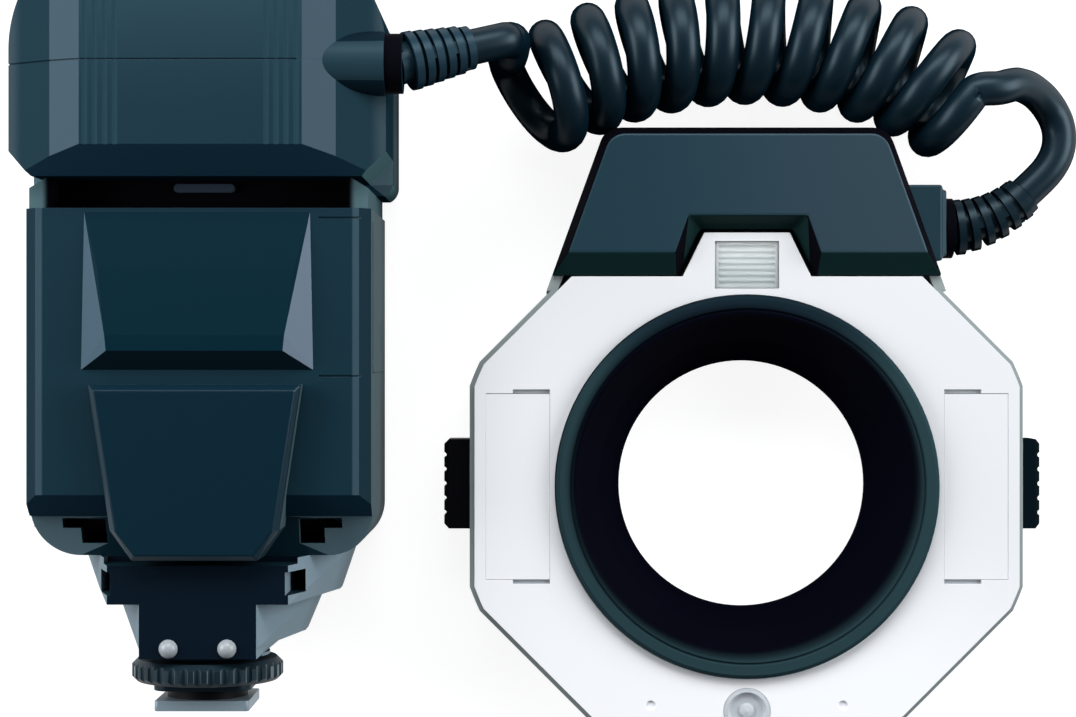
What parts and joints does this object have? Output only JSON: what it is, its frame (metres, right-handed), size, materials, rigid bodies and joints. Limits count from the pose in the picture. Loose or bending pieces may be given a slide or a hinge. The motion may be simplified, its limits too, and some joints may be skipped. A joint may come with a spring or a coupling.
{
  "type": "macro_ring_flash",
  "caption": "Macro ring flash: an octagonal white-faced ring head with a black funnel, a dark control unit with a hot-shoe foot, and a curly cord between them.",
  "frame": {"origin": "centre of the ring's adapter seat, in the plane of the ring's back", "axes": "+Z out of the fronts of both units, +Y from the shoe toward the control unit's head, +X from the control unit toward the ring"},
  "size_m": [0.2142, 0.1643, 0.054],
  "materials": {
    "slate_plastic": "satin",
    "grey_plastic": "satin",
    "housing_plastic": "satin",
    "black_plastic": "satin",
    "black_rubber": "satin",
    "white_plastic": "matte",
    "diffuser": "satin",
    "glass": "gloss",
    "dark_window": "satin",
    "red_lamp": "gloss",
    "bright_metal": "gloss",
    "steel": "satin",
    "board": "matte",
    "copper": "satin",
    "cell_wrap": "satin",
    "display": "gloss",
    "key_rubber": "matte",
    "test_rubber": "matte"
  },
  "bodies": {
    "controller": {"front_shell": "slate_plastic", "rear_shell": "slate_plastic", "side_panel": "grey_plastic", "nameplate_panel": "slate_plastic", "af_window": "dark_window", "af_lamp": "red_lamp", "head_lower_shell": "slate_plastic", "head_upper_shell": "slate_plastic", "neck_block": "black_plastic", "main_capacitor": "black_plastic", "main_board": "board", "lcd_module": "display", "lcd_window": "display", "battery_holder": "black_plastic", "aa_cells": "cell_wrap", "battery_contacts": "bright_metal", "door_hinge_pin": "steel", "shoe_base": "slate_plastic", "shoe_foot": "steel", "unit_screws": "steel", "unit_relief": "black_rubber", "curly_cord": "black_rubber"},
    "ring": {"ring_housing": "housing_plastic", "front_panel": "white_plastic", "top_cover": "slate_plastic", "bezel": "black_plastic", "adapter_seat": "steel", "left_window": "diffuser", "right_window": "diffuser", "left_reflector": "bright_metal", "right_reflector": "bright_metal", "left_tube": "glass", "right_tube": "glass", "upper_lamp_window": "diffuser", "lower_lamp_lens": "diffuser", "lamp_bulbs": "glass", "ring_board": "board", "trigger_coil": "copper", "ring_gland": "black_plastic", "ring_relief": "black_rubber", "ring_screws": "steel", "left_springs": "steel", "right_springs": "steel"},
    "left_release": {"left_button": "black_plastic", "left_latch": "steel"},
    "right_release": {"right_button": "black_plastic", "right_latch": "steel"},
    "battery_cover": {"battery_door": "slate_plastic", "door_contacts": "bright_metal"},
    "clamp": {"clamp_plate": "black_plastic"},
    "wheel": {"lock_wheel": "black_plastic"},
    "shoe_lock": {"lock_pin": "steel"},
    "contacts": {"shoe_contacts": "bright_metal"},
    "power": {"power_switch": "black_plastic"},
    "mode_key_body": {"mode_key": "key_rubber"},
    "select_key_body": {"select_key": "key_rubber"},
    "minus_key_body": {"minus_key": "key_rubber"},
    "plus_key_body": {"plus_key": "key_rubber"},
    "light_key_body": {"light_key": "key_rubber"},
    "test_key_body": {"test_key": "test_rubber"}
  },
  "joints": [
    {"name": "ring_lift", "type": "slide", "parent": "controller", "child": "ring", "axis": [0, 0, 1], "range_m": [0, 0.06], "deforming": ["curly_cord"]},
    {"name": "left_release_press", "type": "slide", "parent": "ring", "child": "left_release", "axis": [1, 0, 0], "range_m": [0, 0.0025], "stiffness_N_per_m": 400, "deforming": ["left_springs"]},
    {"name": "right_release_press", "type": "slide", "parent": "ring", "child": "right_release", "axis": [-1, 0, 0], "range_m": [0, 0.0025], "stiffness_N_per_m": 400, "deforming": ["right_springs"]},
    {"name": "battery_door_hinge", "type": "hinge", "parent": "controller", "child": "battery_cover", "pos_m": [-0.14095, 0.0216, 0.0208], "axis": [0, 0, -1], "range_deg": [0, 95]},
    {"name": "lock_wheel_turn", "type": "hinge", "parent": "clamp", "child": "wheel", "pos_m": [-0.1085, -0.0358, 0.03], "axis": [0, 1, 0], "range_deg": [0, 300]},
    {"name": "clamp_travel", "type": "slide", "parent": "controller", "child": "clamp", "axis": [0, -1, 0], "range_m": [0, 0.0008]},
    {"name": "lock_pin_travel", "type": "slide", "parent": "controller", "child": "shoe_lock", "axis": [0, -1, 0], "range_m": [0, 0.0012]},
    {"name": "contact_press", "type": "slide", "parent": "controller", "child": "contacts", "axis": [0, 1, 0], "range_m": [0, 0.0006], "stiffness_N_per_m": 300},
    {"name": "power_slide", "type": "slide", "parent": "controller", "child": "power", "axis": [1, 0, 0], "range_m": [0, 0.008]},
    {"name": "mode_key_press", "type": "slide", "parent": "controller", "child": "mode_key_body", "axis": [0, 0, 1], "range_m": [0, 0.0006], "stiffness_N_per_m": 500},
    {"name": "select_key_press", "type": "slide", "parent": "controller", "child": "select_key_body", "axis": [0, 0, 1], "range_m": [0, 0.0006], "stiffness_N_per_m": 500},
    {"name": "minus_key_press", "type": "slide", "parent": "controller", "child": "minus_key_body", "axis": [0, 0, 1], "range_m": [0, 0.0006], "stiffness_N_per_m": 500},
    {"name": "plus_key_press", "type": "slide", "parent": "controller", "child": "plus_key_body", "axis": [0, 0, 1], "range_m": [0, 0.0006], "stiffness_N_per_m": 500},
    {"name": "light_key_press", "type": "slide", "parent": "controller", "child": "light_key_body", "axis": [0, 0, 1], "range_m": [0, 0.0006], "stiffness_N_per_m": 500},
    {"name": "test_key_press", "type": "slide", "parent": "controller", "child": "test_key_body", "axis": [0, 0, 1], "range_m": [0, 0.0006], "stiffness_N_per_m": 500}
  ],
  "couplings": [
    {"joint": "clamp_travel", "follows": "lock_wheel_turn", "m_per_rad": 0.00015279},
    {"joint": "lock_pin_travel", "follows": "lock_wheel_turn", "m_per_rad": 0.00022918}
  ]
}
